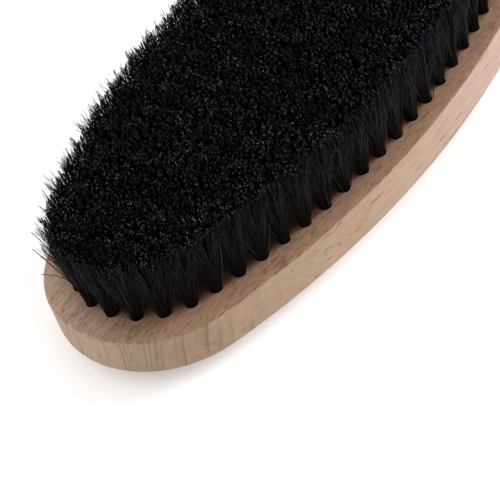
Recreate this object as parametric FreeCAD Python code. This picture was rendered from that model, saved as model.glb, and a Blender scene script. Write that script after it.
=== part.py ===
import FreeCAD, Part
import math
import os
from FreeCAD import Vector

# Clothes brush: a one-piece wooden block with folded bristle tufts held in blind holes
# by flat wire anchors. Millimetres. +Z points up through the bristles and +X runs along
# the block. The origin is the centre of the flat back that the brush rests on.

# ---- block ----
block_length = 176.0
block_width = 75.5
block_thickness = 15.0
block_end_radius = 27.5  # plan radius of the two ends
back_blend_width = 18.0  # how far the rounded back reaches in from the side wall
back_blend_height = 6.4  # how far the rounded back reaches up the side wall
arris_radius = 0.4  # sanded edge between the bristle face and the side wall

# ---- drilled holes ----
hole_radius = 1.5
hole_depth = 6.8  # full-diameter depth, down to the drill point
drill_point_angle = 118.0

# ---- tufts ----
bristle_length = 17.9  # from the face of the block to the trimmed tips
tuft_tip_radius = 3.0
tuft_fold_depth = 6.6  # how deep the folded end sits below the face
rim_lean = 0.4  # how far the tips of a rim tuft stand outside its hole

# ---- layout of the holes ----
rim_end_margin = 8.1  # from the block's end to the rim holes' centres
rim_side_margin = 6.05
rim_end_radius = 20.0
rim_tuft_count = 58
rim_start = 1.4  # first rim hole, measured along the rim from the rear end's centre
rows_each_way = 11  # cross rows on each side of the middle one
row_pitch = 6.6
least_cross_pitch = 7.1
most_gaps_across = 7
fewest_gaps_across = 3

# ---- anchors ----
anchor_bite = 0.3  # how far each end of the wire is driven into the hole's wall
anchor_thickness = 0.35
anchor_height = 1.6
anchor_depth = 6.0  # from the face down to the wire's lower edge

# ---- worked out from the above ----
half_length = block_length / 2
half_width = block_width / 2
anchor_length = 2 * (hole_radius + anchor_bite)
drill_point_height = hole_radius / math.tan(math.radians(drill_point_angle / 2))
rim_half_length = half_length - rim_end_margin
rim_half_width = half_width - rim_side_margin
above_face = 1.0  # how far a cutting tool stands out of the face


def side_radius(a, b, r):
    """Radius of the long sides of an oval with half length a, half width b, end radius r."""
    return ((a - r) ** 2 + b ** 2 - r ** 2) / (2 * (b - r))


def end_half_angle(a, b, r):
    """Half the angle that each end arc of the oval turns through."""
    return math.atan2(side_radius(a, b, r) - b, a - r)


def oval_wire(a, b, r):
    """The oval as four tangent arcs at height zero."""
    turn = end_half_angle(a, b, r)
    join_x = (a - r) + r * math.cos(turn)
    join_y = r * math.sin(turn)

    def arc(*points):
        start, middle, end = [Vector(x, y, 0) for x, y in points]
        return Part.Arc(start, middle, end).toShape()

    return Part.Wire([
        arc((-join_x, -join_y), (0, -b), (join_x, -join_y)),
        arc((join_x, -join_y), (a, 0), (join_x, join_y)),
        arc((join_x, join_y), (0, b), (-join_x, join_y)),
        arc((-join_x, join_y), (-a, 0), (-join_x, -join_y)),
    ])


def rim_point(distance):
    """Point and outward direction on the rim line, at a distance from the rear end's
    centre, going round by the -Y side."""
    a, b, r = rim_half_length, rim_half_width, rim_end_radius
    big = side_radius(a, b, r)
    turn = end_half_angle(a, b, r)
    end_run = r * turn
    quarter = end_run + big * (math.pi / 2 - turn)
    lap, along = divmod(distance, quarter)
    if lap % 2 == 1:
        along = quarter - along
    if along <= end_run:
        angle = along / r
        out = Vector(math.cos(angle), math.sin(angle), 0)
        point = Vector(a - r, 0, 0) + out * r
    else:
        angle = turn + (along - end_run) / big
        out = Vector(math.cos(angle), math.sin(angle), 0)
        point = Vector(0, b - big, 0) + out * big
    flip_x = -1 if lap % 4 in (0, 3) else 1
    flip_y = -1 if lap % 4 in (0, 1) else 1
    turned_point = Vector(point.x * flip_x, point.y * flip_y, 0)
    turned_out = Vector(out.x * flip_x, out.y * flip_y, 0)
    return turned_point, turned_out


def rim_perimeter():
    a, b, r = rim_half_length, rim_half_width, rim_end_radius
    turn = end_half_angle(a, b, r)
    return 4 * (r * turn + side_radius(a, b, r) * (math.pi / 2 - turn))


def rim_group(point):
    """Name of the stretch of the rim that a hole belongs to."""
    end = "front" if point.x > 0 else "rear"
    if abs(point.x) > rim_half_length - rim_end_radius:
        return "rim_" + end + "_end"
    side = "left" if point.y > 0 else "right"
    return "rim_" + end + "_" + side


def rim_holes():
    """Holes of the rim line, grouped by stretch: {group: [(point, tip shift), ...]}."""
    groups = {}
    pitch = rim_perimeter() / rim_tuft_count
    for i in range(rim_tuft_count):
        point, out = rim_point(rim_start + i * pitch)
        groups.setdefault(rim_group(point), []).append((point, out * rim_lean))
    return groups


def rim_half_width_at(x):
    """Half width of the rim line at a station along the block."""
    a, b, r = rim_half_length, rim_half_width, rim_end_radius
    big = side_radius(a, b, r)
    if abs(x) <= (a - r) + r * math.cos(end_half_angle(a, b, r)):
        return math.sqrt(big ** 2 - x ** 2) - (big - b)
    return math.sqrt(r ** 2 - (abs(x) - (a - r)) ** 2)


def row_holes():
    """Straight rows across the block inside the rim, evenly spaced from side to side."""
    groups = {}
    for i in range(-rows_each_way, rows_each_way + 1):
        x = i * row_pitch
        width = 2 * rim_half_width_at(x)
        gaps = most_gaps_across
        while gaps > fewest_gaps_across and width / gaps < least_cross_pitch:
            gaps -= 2
        name = "row_%02d" % (i + rows_each_way + 1)
        groups[name] = []
        for j in range(1, gaps):
            y = -width / 2 + j * width / gaps
            groups[name].append((Vector(x, y, 0), Vector(0, 0, 0)))
    return groups


def edge_section(radius):
    """Section of the block's edge in the XZ plane, for an outline arc of this radius
    that is centred on the Z axis."""
    inner = radius - back_blend_width
    top = block_thickness
    blend = Part.Ellipse(
        Vector(radius, 0, back_blend_height),
        Vector(inner, 0, 0),
        Vector(inner, 0, back_blend_height),
    )
    corner = arris_radius * (1 - math.sqrt(0.5))
    arris = Part.Arc(
        Vector(radius - arris_radius, 0, top),
        Vector(radius - corner, 0, top - corner),
        Vector(radius, 0, top - arris_radius),
    )
    outline = Part.Wire([
        Part.makeLine(Vector(inner, 0, top), Vector(radius - arris_radius, 0, top)),
        arris.toShape(),
        Part.makeLine(Vector(radius, 0, top - arris_radius), Vector(radius, 0, back_blend_height)),
        Part.ArcOfEllipse(blend, 0, math.pi / 2).toShape(),
        Part.makeLine(Vector(inner, 0, 0), Vector(inner, 0, top)),
    ])
    return Part.Face(outline)


def edge_segment(centre, radius, start_angle, end_angle):
    """The block's edge along one arc of its outline, between two angles in degrees."""
    section = edge_section(radius)
    section.rotate(Vector(0, 0, 0), Vector(0, 0, 1), start_angle)
    section.translate(centre)
    return section.revolve(centre, Vector(0, 0, 1), end_angle - start_angle)


def make_block_body():
    """The wooden block before drilling: a flat-faced core and its edge, arc by arc."""
    a, b, r = half_length, half_width, block_end_radius
    big = side_radius(a, b, r)
    turn = math.degrees(end_half_angle(a, b, r))
    front = edge_segment(Vector(a - r, 0, 0), r, -turn, turn)
    rear = edge_segment(Vector(r - a, 0, 0), r, 180 - turn, 180 + turn)
    left = edge_segment(Vector(0, b - big, 0), big, turn, 180 - turn)
    right = edge_segment(Vector(0, big - b, 0), big, 180 + turn, 360 - turn)
    inset = back_blend_width
    core = Part.Face(oval_wire(a - inset, b - inset, r - inset)).extrude(Vector(0, 0, block_thickness))
    return core.fuse([front, rear, left, right]).removeSplitter()


def make_hole_tool(point):
    """A drilled hole's volume: a cylinder with a drill point under it."""
    floor = Vector(point.x, point.y, block_thickness - hole_depth)
    cylinder = Part.makeCylinder(hole_radius, hole_depth + above_face, floor)
    drill_tip = floor - Vector(0, 0, drill_point_height)
    return cylinder.fuse(Part.makeCone(0, hole_radius, drill_point_height, drill_tip))


def make_anchor(point):
    """A cut length of flat wire that pins the fold of one tuft."""
    corner = Vector(
        point.x - anchor_length / 2,
        point.y - anchor_thickness / 2,
        block_thickness - anchor_depth,
    )
    return Part.makeBox(anchor_length, anchor_thickness, anchor_height, corner)


def make_tuft(point, tip_shift):
    """A folded tuft: its root fills the hole and its bristles splay out to flat-cut tips."""
    root_floor = Vector(point.x, point.y, block_thickness - tuft_fold_depth)
    root = Part.makeCylinder(hole_radius, tuft_fold_depth, root_floor)
    mouth = Vector(point.x, point.y, block_thickness)
    tips = mouth + tip_shift + Vector(0, 0, bristle_length)
    circles = [Part.makeCircle(hole_radius, mouth), Part.makeCircle(tuft_tip_radius, tips)]
    bristles = Part.makeLoft([Part.Wire([circle]) for circle in circles], True, True)
    return root.fuse(bristles).cut(make_anchor(point))


def export(name, solids):
    Part.makeCompound(solids).exportStep("parts/" + name + ".step")


def main():
    os.makedirs("parts", exist_ok=True)
    groups = {**rim_holes(), **row_holes()}
    cutters = []
    for name, holes in groups.items():
        export(name + "_tufts", [make_tuft(point, shift) for point, shift in holes])
        export(name + "_anchors", [make_anchor(point) for point, shift in holes])
        cutters += [make_hole_tool(point).fuse(make_anchor(point)) for point, shift in holes]
    block = make_block_body().cut(cutters)
    export("block", block.Solids)
    print("holes", len(cutters), "block volume", round(block.Volume), "mm3")


main()
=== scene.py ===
import math

import bmesh
import bpy
import numpy as np
from mathutils import Matrix, Vector


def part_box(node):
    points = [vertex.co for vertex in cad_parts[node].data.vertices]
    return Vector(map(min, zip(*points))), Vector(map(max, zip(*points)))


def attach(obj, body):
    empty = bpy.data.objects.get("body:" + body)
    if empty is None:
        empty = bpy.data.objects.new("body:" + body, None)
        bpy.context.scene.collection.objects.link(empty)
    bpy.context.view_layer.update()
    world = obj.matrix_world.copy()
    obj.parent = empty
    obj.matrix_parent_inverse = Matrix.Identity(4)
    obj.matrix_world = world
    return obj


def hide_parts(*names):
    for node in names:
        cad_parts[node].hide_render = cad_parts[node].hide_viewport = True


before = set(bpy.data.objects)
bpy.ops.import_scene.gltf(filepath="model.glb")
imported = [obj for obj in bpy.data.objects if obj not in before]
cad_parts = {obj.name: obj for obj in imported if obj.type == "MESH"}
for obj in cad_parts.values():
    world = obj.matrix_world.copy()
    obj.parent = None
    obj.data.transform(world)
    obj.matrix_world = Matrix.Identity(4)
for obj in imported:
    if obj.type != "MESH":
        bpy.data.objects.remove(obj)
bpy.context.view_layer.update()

# Clothes brush, in metres. The block and the anchor wires are the CAD objects with
# procedural materials. Each tuft node is replaced by a mesh of real hairs.

MM = 0.001
SEED = 40
TUFT_NODES = sorted(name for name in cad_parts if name.endswith("_tufts"))
ANCHOR_NODES = sorted(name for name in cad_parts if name.endswith("_anchors"))

# ---- block ----
FACE_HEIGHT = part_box("block")[1].z  # the flat face that the bristles stand on
HALF_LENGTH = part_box("block")[1].x
HALF_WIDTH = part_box("block")[1].y
END_RADIUS = 27.5 * MM  # plan radius of the block's ends

# ---- camera, as a distance and direction from a point on the bristle face ----
CAMERA_AZIMUTH = math.radians(-39.97)
CAMERA_ELEVATION = math.radians(43.98)
CAMERA_ROLL = math.radians(-19.98)
CAMERA_DISTANCE = 446.5 * MM
CAMERA_AIM = Vector((-51.79 * MM, -20.09 * MM, FACE_HEIGHT))
CAMERA_LENS = 144.0
CAMERA_SENSOR = 36.0
CAMERA_NEAR = 0.01

# ---- floor and lights ----
FLOOR_HALF = 3.0
FLOOR_DROP = 0.02 * MM  # just clear of the block's flat back
FLOOR_GLOW = 0.2
KEY_PLACE = Vector((1.02, -0.60, 0.26))
KEY_AIM = Vector((-0.02, 0, 0.01))
KEY_SIZE = 0.5
KEY_POWER = 24.0
KEY_COLOUR = (0.94, 0.97, 1.0)

# ---- one hair ----
HAIR_SIDES = 3
CUT_LEVEL = 0.984  # the paler cut tip starts here, as a share of the hair's height
HAIR_LEVELS = np.array([0.0, 0.14, 0.34, 0.62, CUT_LEVEL, 1.0])  # where its rings are
HAIR_ROOT_RADIUS = 0.095 * MM
HAIR_TIP_RADIUS = 0.05 * MM
HAIR_SINK = 1.2 * MM  # how far the modelled hairs start below the hole's mouth
HAIR_BOW = 0.45 * MM  # how unevenly hairs bow
TUBE_HINT = np.array([0.31, 0.95, 0.02])  # a direction that no hair runs along

# ---- all tufts ----
ROOT_FILL = 0.92  # share of the hole's radius that the hairs fill at its mouth
TIP_SCATTER = 0.6 * MM  # how unevenly the tips fan out
TRIM_SCATTER = 0.22 * MM  # how far the tips end below the trimmed height
SPLAY_DROP = 0.7  # the most that a tip drops, as a share of how far it leans out
SHORT_HAIRS = 0.06  # share of the hairs that are shorter than the rest
SHORT_BY = (0.5 * MM, 3.0 * MM)
OPENING = (0.6, 1.0)  # power of a hair's curve: the higher, the later it leaves the axis

# ---- inner tufts ----
INNER_HAIRS = 340  # hairs in each
INNER_SPREAD = 5.7 * MM  # radius that the tips fan out to
INNER_LOCKS = 95  # the hairs gather into this many loose locks
INNER_LOCK_PULL = 0.55
LOCK_TONES = (0.75, 1.0)  # the tone of each hair, as a share of its lock's tone
EDGE_DIMMING = 0.15  # how much darker the tips are at the edge of the tuft

# ---- rim tufts ----
RIM_HAIRS = 320
RIM_SPREAD = 7.4 * MM  # along the rim and inwards
OUTWARD_SHARE = 0.26  # how much of the fan is left on the outer side
RIM_LOCKS = 75
RIM_LOCK_PULL = 0.52
RIM_TIP_SCATTER = 0.4 * MM  # how unevenly whole tufts lean
RIM_TOP_SCATTER = 0.7 * MM  # how much lower than the others a whole tuft may be
OUTER_TONE = 0.75  # the outer hairs are darker by this factor
BRIGHT_HAIRS = 0.04  # share of the hairs that catch the light
BRIGHT_TONE = 0.93  # their tone, which the material makes brighter
EARLY_HAIRS = 0.14  # share of the hairs that leave the slim base low down
LATE_OPENING = 2.1  # the others open later by this factor
WILD_HAIRS = 0.11  # share of the hairs that splay well outwards
WILD_LOCKS = 8
WILD_REACH = 4.6 * MM  # how far the longest of their strands reach
WILD_LEAST = 0.4  # the shortest of them, as a share of that
WILD_SIDEWAYS = 3.2 * MM
WILD_SCATTER = 0.2 * MM
WILD_TONE = 0.6  # they are darker by this factor

# ---- tuft solids of the frame ----
LEAST_LEAN = 0.1 * MM  # an inner tuft leans less than this
RING_SLACK = 0.1 * MM  # points this close to its top or bottom are on its end circles
MERGE_DISTANCE = 0.001 * MM

# ---- loose hairs: root, middle and tip in millimetres from the block's centre ----
LOOSE_HAIRS = (
    ((-77.2, 11.4, 15.5), (-78.1, 14.0, 18.3), (-79.5, 19.0, 18.5)),
    ((-77.4, 11.0, 15.5), (-78.0, 14.0, 20.5), (-76.8, 22.0, 23.0)),
    ((-77.0, 11.2, 15.5), (-77.9, 13.2, 21.5), (-76.6, 18.4, 25.0)),
    ((-75.5, 12.8, 15.5), (-76.4, 15.5, 24.0), (-75.4, 21.6, 27.5)),
    ((-77.5, 10.8, 15.5), (-78.1, 12.9, 18.8), (-77.1, 19.6, 22.0)),
    ((-74.0, 14.2, 15.5), (-75.4, 15.5, 26.0), (-73.6, 18.1, 32.0)),
)
LOOSE_ROOT_RADIUS = 0.17 * MM
LOOSE_TIP_RADIUS = 0.12 * MM

# ---- growth rings ----
PITH_Y = 259.9 * MM  # the rings' centre, far off to the left so they cross the ends upright
PITH_Z = 52 * MM
FINE_RING_PITCH = 1.12 * MM
BOLD_RING_PITCH = 3.93 * MM


# ---------------------------------------------------------------- node helpers
class Nodes:
    """Short forms for adding and joining the nodes of one material. Wherever a value is
    wanted, it can be a number, a colour or another node's output."""

    def __init__(self, name):
        self.material = bpy.data.materials.new(name)
        self.material.use_nodes = True
        self.tree = self.material.node_tree
        self.shader = self.tree.nodes["Principled BSDF"]

    def feed(self, socket, value):
        if isinstance(value, bpy.types.NodeSocket):
            self.tree.links.new(value, socket)
        else:
            socket.default_value = value

    def add(self, kind, inputs=None, **settings):
        node = self.tree.nodes.new(kind)
        for key, value in settings.items():
            setattr(node, key, value)
        for key, value in (inputs or {}).items():
            self.feed(node.inputs[key], value)
        return node

    def surface(self, **values):
        """Set inputs of the shader, with _ for each space in their names."""
        for key, value in values.items():
            self.feed(self.shader.inputs[key.replace("_", " ")], value)

    def math(self, operation, a, b=0.0):
        return self.add("ShaderNodeMath", {0: a, 1: b}, operation=operation).outputs[0]

    def plus(self, a, b):
        return self.math("ADD", a, b)

    def minus(self, a, b):
        return self.math("SUBTRACT", a, b)

    def times(self, *factors):
        product = factors[0]
        for factor in factors[1:]:
            product = self.math("MULTIPLY", product, factor)
        return product

    def distance(self, a, b):
        return self.math("SQRT", self.plus(self.times(a, a), self.times(b, b)))

    def mix(self, factor, a, b):
        return self.add("ShaderNodeMix", {0: factor, 6: a, 7: b}, data_type="RGBA").outputs[2]

    def spread(self, value, low, high, to_low=0.0, to_high=1.0):
        """The value's range from low to high, stretched to another range and clamped."""
        inputs = {"Value": value, "From Min": low, "From Max": high}
        inputs.update({"To Min": to_low, "To Max": to_high})
        return self.add("ShaderNodeMapRange", inputs).outputs[0]

    def noise(self, vector, scale, detail=2.0, roughness=0.5):
        inputs = {"Vector": vector, "Scale": scale, "Detail": detail, "Roughness": roughness}
        return self.add("ShaderNodeTexNoise", inputs).outputs["Fac"]

    def stretched_noise(self, vector, scale, detail=2.0, roughness=0.5):
        stretched = self.add("ShaderNodeMapping", {"Vector": vector, "Scale": scale})
        return self.noise(stretched.outputs["Vector"], 1.0, detail, roughness)

    def place(self):
        return self.add("ShaderNodeTexCoord").outputs["Object"]

    def attribute(self, name):
        return self.add("ShaderNodeAttribute", attribute_name=name).outputs["Fac"]


def linear(hex_colour):
    """A linear colour from an sRGB hex string."""
    channels = []
    for i in (0, 2, 4):
        c = int(hex_colour[i:i + 2], 16) / 255
        channels.append(((c + 0.055) / 1.055) ** 2.4 if c > 0.04045 else c / 12.92)
    return (*channels, 1.0)


# ---------------------------------------------------------------- beech
class Beech(Nodes):
    """Bare sanded beech as a solid texture: grain along X, growth rings stacked along Y.
    The face is planed along the grain and the wall is cut round it, so they differ."""

    def __init__(self):
        super().__init__("beech")
        self.spot = self.place()
        axes = self.add("ShaderNodeSeparateXYZ", {"Vector": self.spot}).outputs
        self.x, self.y, self.z = axes["X"], axes["Y"], axes["Z"]
        self.lengthways = self.math("ABSOLUTE", self.x)
        self.sideways = self.math("ABSOLUTE", self.y)
        normal = self.add("ShaderNodeNewGeometry").outputs["Normal"]
        upward = self.add("ShaderNodeSeparateXYZ", {"Vector": normal}).outputs["Z"]
        self.on_face = self.spread(self.math("ABSOLUTE", upward), 0.5, 0.9)  # and on the back
        self.bristle_side = self.spread(upward, 0.5, 0.9)
        self.on_wall = self.minus(1.0, self.on_face)

        self.base = self.plain_wood()
        self.add_grain()
        self.add_growth_rings()
        strokes = self.add_face_marks()
        self.add_wall_marks()
        # painted shade on the face among the tufts
        self.add_painted_shade_among_tufts()
        relief = self.minus(self.grain(14, 0.35), self.times(strokes, 0.5))
        bump_inputs = {"Height": relief, "Strength": 0.3, "Distance": 0.05 * MM}
        self.surface(
            Base_Color=self.base,
            Roughness=self.spread(strokes, 0.0, 1.0, 0.72, 0.85),
            Specular_IOR_Level=0.15,
            Normal=self.add("ShaderNodeBump", bump_inputs).outputs["Normal"],
        )

    def grain(self, length, width, detail=2.0, roughness=0.5):
        """Noise drawn out along X, with marks about this long and wide in millimetres."""
        scale = (1 / (length * MM), 1 / (width * MM), 1 / (width * MM))
        return self.stretched_noise(self.spot, scale, detail, roughness)

    def tint(self, colour, *strengths):
        """Draw the wood towards a colour, by the product of the strengths."""
        self.base = self.mix(self.times(*strengths), self.base, linear(colour))

    def plain_wood(self):
        patches = self.spread(self.grain(15, 7), 0.36, 0.64)
        wall = self.mix(patches, linear("96846E"), linear("99816D"))
        wall = self.mix(self.spread(self.x, -30 * MM, 12 * MM), wall, linear("9A867A"))
        face = self.mix(patches, linear("9D8066"), linear("9D7A68"))
        plain = self.mix(self.on_face, wall, face)
        # the wood pales towards the rear left corner
        towards_corner = self.minus(self.times(self.y, 0.64), self.times(self.x, 0.77))
        pale = self.mix(self.on_face, linear("BCA593"), linear("D4B79F"))
        return self.mix(self.spread(towards_corner, 56 * MM, 73 * MM), plain, pale)

    def add_grain(self):
        """Soft clouds, fine lines and warmer flames."""
        self.tint("8C6B55", self.spread(self.grain(20, 1.4, 3.0), 0.40, 0.68, 0.0, 0.35))
        self.tint("876650", self.spread(self.grain(9, 0.38), 0.42, 0.72, 0.0, 0.38))
        self.tint("AE8770", self.spread(self.grain(4.5, 2.2), 0.52, 0.66, 0.0, 0.30))

    def rings(self, radius, pitch, sharpness):
        """Late wood of growth rings, dark side outwards. Some years are darker."""
        years = self.math("DIVIDE", radius, pitch)
        year = {"W": self.math("FLOOR", years)}
        chance = self.add("ShaderNodeTexWhiteNoise", year, noise_dimensions="1D")
        darkness = self.spread(chance.outputs["Value"], 0.0, 1.0, 0.1, 1.5)
        late = self.math("POWER", self.math("FRACT", years), sharpness)
        return self.times(late, darkness)

    def add_growth_rings(self):
        """Fine and bold rings, which fade on the face and where the wall runs along them."""
        uneven = self.stretched_noise(self.spot, (5, 300, 30), 1.0)
        drift = self.plus(
            self.times(self.minus(self.grain(120, 18), 0.5), 4 * MM),
            self.times(self.minus(uneven, 0.5), 1.6 * MM),
        )
        across = self.minus(self.y, PITH_Y)
        up = self.minus(self.z, PITH_Z)
        radius = self.plus(self.distance(across, up), drift)
        at_ends = self.times(
            self.spread(self.sideways, 27 * MM, 33 * MM, 1.0, 0.12),
            self.spread(self.on_face, 0.0, 1.0, 1.0, 0.2),
        )
        bands = self.stretched_noise(self.spot, (8, 420, 35), 1.0)
        fine = self.times(self.spread(bands, 0.40, 0.62, 0.06, 0.68), at_ends)
        self.tint("6F5A41", self.rings(radius, FINE_RING_PITCH, 3.0), fine)
        bold = self.times(self.spread(self.grain(50, 5), 0.38, 0.58, 0.2, 0.9), at_ends)
        self.tint("77583E", self.rings(radius, BOLD_RING_PITCH, 10.0), bold)

    def add_face_marks(self):
        """Crowded ray flecks, specks and glints. Returns where the flecks are."""
        crowding = self.spread(self.grain(18, 9), 0.4, 0.62, 0.35, 1.0)
        strokes = self.spread(self.grain(2.5, 0.45, 1.5), 0.54, 0.63)
        strokes = self.times(strokes, crowding, self.on_face)
        self.tint("6C4733", strokes, 0.62)
        specks = self.spread(self.grain(1.1, 0.34, 1.0, 0.4), 0.63, 0.71)
        self.tint("68402D", specks, self.on_face, 0.6)
        glints = self.spread(self.grain(2.0, 0.5, 1.0, 0.4), 0.62, 0.72)
        self.tint("C4A58D", glints, self.on_face, 0.35)
        return strokes

    def add_wall_marks(self):
        """A few long streaks and faint blots on the long sides."""
        long_sides = self.times(self.on_wall, self.spread(self.sideways, 27 * MM, 32 * MM))
        streaks = self.spread(self.grain(7.0, 0.85, 1.5, 0.45), 0.645, 0.68)
        self.tint("785235", streaks, long_sides, 0.62)
        blots = self.spread(self.grain(2.6, 1.5, 1.0, 0.4), 0.70, 0.77)
        self.tint("84604A", blots, long_sides, 0.35)

    def add_painted_shade_among_tufts(self):
        """Painted shade darkens the face among the tufts and a little way out from them,
        by the distance in from the block's outline of four tangent arcs."""
        end_centre = HALF_LENGTH - END_RADIUS
        side_radius = end_centre ** 2 + HALF_WIDTH ** 2 - END_RADIUS ** 2
        side_radius /= 2 * (HALF_WIDTH - END_RADIUS)
        to_side_centre = self.plus(self.sideways, side_radius - HALF_WIDTH)
        side_depth = self.minus(side_radius, self.distance(self.lengthways, to_side_centre))
        to_end_centre = self.distance(self.minus(self.lengthways, end_centre), self.sideways)
        end_depth = self.minus(END_RADIUS - 2 * MM, to_end_centre)
        near_end = self.spread(self.lengthways, 62 * MM, 74 * MM)
        side_part = self.times(side_depth, self.minus(1.0, near_end))
        depth = self.plus(self.times(end_depth, near_end), side_part)
        faint = self.spread(depth, 1 * MM, 4 * MM, 0.0, 0.12)
        strong = self.spread(depth, 5 * MM, 8 * MM, 0.0, 0.68)
        # painted shade: faint just outside the tufts, deep among them
        self.tint("3A2418", self.plus(faint, strong), self.bristle_side)


# ---------------------------------------------------------------- other materials
def bristle_material():
    """Black hair with a low gloss, a few bright and a few warm strands, and paler cut
    tips in clouds and clumps."""
    n = Nodes("black_bristle")
    along, tone, place = n.attribute("along"), n.attribute("tone"), n.place()

    dark, dull = (0.0036, 0.0033, 0.0037, 1.0), (0.0095, 0.0091, 0.0092, 1.0)
    bright, warm = (0.0380, 0.0370, 0.0355, 1.0), (0.012, 0.009, 0.0075, 1.0)
    upper = (0.0046, 0.0042, 0.0066, 1.0)
    dark_tip, pale_tip = (0.012, 0.0112, 0.018, 1.0), (0.50, 0.49, 0.57, 1.0)

    shaft = n.mix(n.math("POWER", tone, 4.0), dark, dull)
    shaft = n.mix(n.spread(tone, 0.88, 0.92), shaft, bright)
    shaft = n.mix(n.spread(tone, 0.95, 0.99), shaft, warm)
    shaft = n.mix(n.spread(along, 0.75, 0.97), shaft, upper)
    clouds = n.spread(n.noise(place, 150.0), 0.38, 0.58, 0.2, 1.0)
    clumps = n.spread(n.noise(place, 320.0, 1.0), 0.38, 0.6, 0.45, 1.0)
    paleness = n.times(n.math("POWER", tone, 3.2), n.times(clouds, clumps))
    tip = n.mix(paleness, dark_tip, pale_tip)
    sheen = n.mix(n.spread(along, 0.7, 1.0), (0.97, 0.94, 0.97, 1.0), (0.86, 0.83, 1.0, 1.0))
    n.surface(
        Base_Color=n.mix(n.spread(along, CUT_LEVEL, 1.0), shaft, tip),
        Roughness=n.spread(along, 0.5, 1.0, 0.36, 0.5),
        Specular_IOR_Level=0.15,
        Specular_Tint=sheen,
    )
    return n.material


def loose_material():
    """The few loose reddish-brown hairs, paler towards the tip."""
    n = Nodes("brown_hair")
    along = n.attribute("along")
    n.surface(
        Base_Color=n.mix(n.spread(along, 0.2, 0.9), linear("1E0E09"), linear("6A3F2E")),
        Roughness=n.spread(along, 0.0, 1.0, 0.35, 0.5),
    )
    return n.material


def wire_material():
    """Drawn flat wire: fine lines along its length and a little tarnish."""
    n = Nodes("anchor_wire")
    place = n.place()
    lines = n.stretched_noise(place, (300, 9000, 9000))
    tarnish = n.spread(n.noise(place, 700.0), 0.35, 0.7)
    n.surface(
        Base_Color=n.mix(tarnish, linear("B4B0A6"), linear("8C8678")),
        Roughness=n.spread(lines, 0.3, 0.7, 0.25, 0.45),
        Metallic=1.0,
    )
    return n.material


def paper_material():
    """Pale paper with a faint mottle and a faint glow."""
    n = Nodes("floor_paper")
    mottle = n.noise(n.place(), 300.0)
    n.surface(
        Base_Color=n.mix(mottle, (0.93, 0.93, 0.93, 1.0), (0.96, 0.96, 0.96, 1.0)),
        Roughness=0.9,
        Emission_Color=(1.0, 1.0, 1.0, 1.0),
        Emission_Strength=FLOOR_GLOW,
    )
    return n.material


# ---------------------------------------------------------------- bristles
def tuft_places(node):
    """Root centre, tip centre, top and root radius of each solid in a tuft node."""
    mesh = bmesh.new()
    mesh.from_mesh(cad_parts[node].data)
    bmesh.ops.remove_doubles(mesh, verts=mesh.verts, dist=MERGE_DISTANCE)
    unseen = set(mesh.verts)
    places = []
    while unseen:
        island = []
        waiting = [unseen.pop()]
        while waiting:
            vertex = waiting.pop()
            island.append(vertex.co.copy())
            for edge in vertex.link_edges:
                other = edge.other_vert(vertex)
                if other in unseen:
                    unseen.remove(other)
                    waiting.append(other)
        points = np.array(island)
        low, high = points[:, 2].min(), points[:, 2].max()
        root_ring = points[points[:, 2] < low + RING_SLACK]
        tip_ring = points[points[:, 2] > high - RING_SLACK]
        root = (root_ring[:, :2].min(0) + root_ring[:, :2].max(0)) / 2
        tip = (tip_ring[:, :2].min(0) + tip_ring[:, :2].max(0)) / 2
        places.append((root, tip, high, np.ptp(root_ring[:, 0]) / 2))
    mesh.free()
    return sorted(places, key=lambda p: (round(p[0][0], 5), round(p[0][1], 5)))


def gather(reach, locks, pull):
    """Pull every tip towards the nearest of the first few, and say which that is."""
    apart = np.linalg.norm(reach[:, None] - reach[None, :locks], axis=2)
    lock = apart.argmin(1)
    return reach + (reach[lock] - reach) * pull, lock


def splay(rng, reach, out):
    """Send some tips of a rim tuft well outwards in thin strands, and say which."""
    count = len(reach)
    wild = rng.uniform(0, 1, count) < WILD_HAIRS
    strand = rng.integers(0, WILD_LOCKS, count)
    forward = rng.uniform(WILD_LEAST, 1.0, WILD_LOCKS)[strand] * WILD_REACH
    sideways = rng.uniform(-WILD_SIDEWAYS, WILD_SIDEWAYS, WILD_LOCKS)[strand]
    along_rim = np.array([-out[1], out[0]])
    splayed = forward[:, None] * out + sideways[:, None] * along_rim
    splayed += rng.normal(0, WILD_SCATTER, (count, 2))
    return np.where(wild[:, None], splayed, reach), wild


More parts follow.
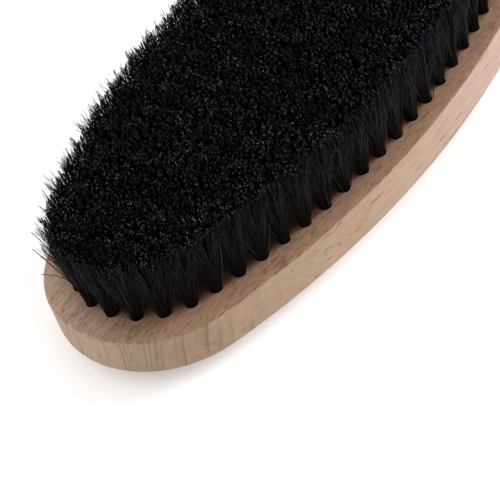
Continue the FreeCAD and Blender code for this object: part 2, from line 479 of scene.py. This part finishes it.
def hair_paths(rng, place):
    """Centre lines of the hairs of one tuft, count x rings x 3, and a tone for each hair."""
    root, tip, top, root_radius = place
    lean = tip - root
    on_rim = np.linalg.norm(lean) > LEAST_LEAN
    count = RIM_HAIRS if on_rim else INNER_HAIRS
    spread = RIM_SPREAD if on_rim else INNER_SPREAD
    angle = rng.uniform(0, 2 * math.pi, count)
    share = np.sqrt(rng.uniform(0, 1, count))
    direction = np.stack([np.cos(angle), np.sin(angle)], 1)
    start = root + direction * (share * (root_radius * ROOT_FILL - HAIR_ROOT_RADIUS))[:, None]
    reach = direction * (share * spread)[:, None] + rng.normal(0, TIP_SCATTER, (count, 2))
    tones = rng.uniform(0, 1, count)
    if on_rim:
        out = lean / np.linalg.norm(lean)
        outwards = reach @ out
        kept = np.where(outwards > 0, outwards * OUTWARD_SHARE, outwards)
        reach += (kept - outwards)[:, None] * out
        tip = tip + rng.normal(0, RIM_TIP_SCATTER, 2)
        top = top - rng.uniform(0, RIM_TOP_SCATTER)
        tones *= np.where(outwards > 0, OUTER_TONE, 1.0)
        tones[rng.uniform(0, 1, count) < BRIGHT_HAIRS] = BRIGHT_TONE
        reach, lock = gather(reach, RIM_LOCKS, RIM_LOCK_PULL)
        reach, wild = splay(rng, reach, out)
        tones[wild] *= WILD_TONE
        outwards = np.maximum(reach @ out, 0)
    else:
        reach, lock = gather(reach, INNER_LOCKS, INNER_LOCK_PULL)
        tones = tones[lock] * rng.uniform(*LOCK_TONES, count) * (1.0 - EDGE_DIMMING * share)
        outwards = np.zeros(count)
    end = tip + reach

    height = top - np.abs(rng.normal(0, TRIM_SCATTER, count))
    height -= outwards * rng.uniform(0, SPLAY_DROP, count)
    short = rng.uniform(0, 1, count) < SHORT_HAIRS
    height -= short * rng.uniform(*SHORT_BY, count)
    bow = rng.normal(0, HAIR_BOW, (count, 2))
    opening = rng.uniform(*OPENING, count)
    if on_rim:
        late = rng.uniform(0, 1, count) > EARLY_HAIRS
        opening = np.where(late, opening * LATE_OPENING, opening)

    rise = HAIR_LEVELS[None, :]
    bottom = FACE_HEIGHT - HAIR_SINK
    z = bottom + (height - bottom)[:, None] * rise
    above = np.clip((z - FACE_HEIGHT) / (height - FACE_HEIGHT)[:, None], 0, 1)
    fan = above ** opening[:, None]
    flat = start[:, None, :] + (end - start)[:, None, :] * fan[:, :, None]
    flat = flat + bow[:, None, :] * (np.sin(math.pi * above) * above)[:, :, None]
    return np.concatenate([flat, z[:, :, None]], 2), tones


def loose_paths():
    """Smooth curves through the three points of each loose hair."""
    root, middle, tip = (np.array(points)[:, None, :] * MM for points in zip(*LOOSE_HAIRS))
    t = HAIR_LEVELS[None, :, None]
    handle = 2 * middle - (root + tip) / 2
    return root * (1 - t) ** 2 + handle * 2 * t * (1 - t) + tip * t ** 2


def tube_arrays(paths, root_radius, tip_radius):
    """Vertices and faces of slim tapered tubes along many paths with equal ring counts."""
    count, rings, _ = paths.shape
    tangent = np.gradient(paths, axis=1)
    tangent /= np.linalg.norm(tangent, axis=2, keepdims=True)
    side = np.cross(tangent, TUBE_HINT)
    side /= np.linalg.norm(side, axis=2, keepdims=True)
    other = np.cross(tangent, side)
    radius = (root_radius + (tip_radius - root_radius) * HAIR_LEVELS)[None, :, None]
    corners = []
    for i in range(HAIR_SIDES):
        turn = 2 * math.pi * i / HAIR_SIDES
        corners.append(paths + radius * (math.cos(turn) * side + math.sin(turn) * other))
    vertices = np.stack(corners, 2).reshape(-1, 3)
    quads = []
    for ring in range(rings - 1):
        low, high = ring * HAIR_SIDES, (ring + 1) * HAIR_SIDES
        for i in range(HAIR_SIDES):
            j = (i + 1) % HAIR_SIDES
            quads.append((low + i, low + j, high + j, high + i))
    tip_cap = tuple((rings - 1) * HAIR_SIDES + i for i in range(HAIR_SIDES))
    root_cap = tuple(reversed(range(HAIR_SIDES)))
    shift = (np.arange(count) * rings * HAIR_SIDES)[:, None, None]
    all_quads = (np.array(quads)[None] + shift).reshape(-1, 4)
    all_caps = (np.array([tip_cap, root_cap])[None] + shift).reshape(-1, HAIR_SIDES)
    return vertices, all_quads, all_caps


def hair_object(name, paths, tones, root_radius, tip_radius, material):
    """One mesh of many hairs, with each point's height along its hair and its tone."""
    vertices, quads, caps = tube_arrays(paths, root_radius, tip_radius)
    mesh = bpy.data.meshes.new(name)
    mesh.from_pydata(vertices.tolist(), [], quads.tolist() + caps.tolist())
    mesh.polygons.foreach_set("use_smooth", np.ones(len(mesh.polygons), bool))
    count, rings, _ = paths.shape
    along = np.repeat(np.tile(HAIR_LEVELS, count), HAIR_SIDES)
    tone = np.repeat(tones, rings * HAIR_SIDES)
    for key, values in (("along", along), ("tone", tone)):
        attribute = mesh.attributes.new(key, "FLOAT", "POINT")
        attribute.data.foreach_set("value", values.astype(np.float32))
    mesh.materials.append(material)
    return add_object(name, mesh)


def add_object(name, data):
    added = bpy.data.objects.new(name, data)
    bpy.context.scene.collection.objects.link(added)
    return added


def make_bristles(material):
    for number, node in enumerate(TUFT_NODES):
        rng = np.random.default_rng(SEED + number)
        tufts = [hair_paths(rng, place) for place in tuft_places(node)]
        paths = np.concatenate([paths for paths, tones in tufts])
        tones = np.concatenate([tones for paths, tones in tufts])
        name = node.replace("_tufts", "_bristles")
        piece = hair_object(name, paths, tones, HAIR_ROOT_RADIUS, HAIR_TIP_RADIUS, material)
        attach(piece, "root")
        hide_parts(node)


def make_loose_hairs(material):
    paths = loose_paths()
    tones = np.linspace(0, 1, len(paths))
    radii = (LOOSE_ROOT_RADIUS, LOOSE_TIP_RADIUS)
    piece = hair_object("loose_hairs", paths, tones, *radii, material)
    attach(piece, "root")


# ---------------------------------------------------------------- surroundings
def make_floor(material):
    half, z = FLOOR_HALF, -FLOOR_DROP
    corners = [(-half, -half, z), (half, -half, z), (half, half, z), (-half, half, z)]
    mesh = bpy.data.meshes.new("floor")
    mesh.from_pydata(corners, [], [(0, 1, 2, 3)])
    mesh.materials.append(material)
    floor = add_object("floor", mesh)


def make_lights():
    """White surroundings and one soft, slightly cool light from the right."""
    world = bpy.data.worlds.new("studio")
    world.use_nodes = True
    background = world.node_tree.nodes["Background"]
    background.inputs["Color"].default_value = (1.0, 1.0, 1.0, 1.0)
    background.inputs["Strength"].default_value = 1.0
    bpy.context.scene.world = world
    light = bpy.data.lights.new("key", "AREA")
    light.shape = "DISK"
    light.size = KEY_SIZE
    light.energy = KEY_POWER
    light.color = KEY_COLOUR
    lamp = add_object("key", light)
    lamp.location = KEY_PLACE
    lamp.rotation_euler = (KEY_AIM - KEY_PLACE).to_track_quat("-Z", "Y").to_euler()


def make_camera():
    azimuth, elevation = CAMERA_AZIMUTH, CAMERA_ELEVATION
    back = Vector((
        math.sin(azimuth) * math.cos(elevation),
        -math.cos(azimuth) * math.cos(elevation),
        math.sin(elevation),
    ))
    right = Vector((math.cos(azimuth), math.sin(azimuth), 0))
    up = back.cross(right)
    c, s = math.cos(CAMERA_ROLL), math.sin(CAMERA_ROLL)
    rolled_right = right * c + up * s
    rolled_up = up * c - right * s
    turn = Matrix((rolled_right, rolled_up, back)).transposed().to_4x4()
    data = bpy.data.cameras.new("camera")
    data.lens = CAMERA_LENS
    data.sensor_width = CAMERA_SENSOR
    data.clip_start = CAMERA_NEAR
    camera = add_object("camera", data)
    camera.matrix_world = Matrix.Translation(CAMERA_AIM + back * CAMERA_DISTANCE) @ turn
    bpy.context.scene.camera = camera


# ---------------------------------------------------------------- assembly
def assign(node, material):
    """Give a carried-over CAD object its material."""
    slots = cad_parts[node].data.materials
    slots.clear()
    slots.append(material)


assign("block", Beech().material)
wire = wire_material()
for anchor_node in ANCHOR_NODES:
    assign(anchor_node, wire)
make_bristles(bristle_material())
make_loose_hairs(loose_material())
make_floor(paper_material())
make_lights()
make_camera()
bpy.context.scene.view_settings.view_transform = "Standard"
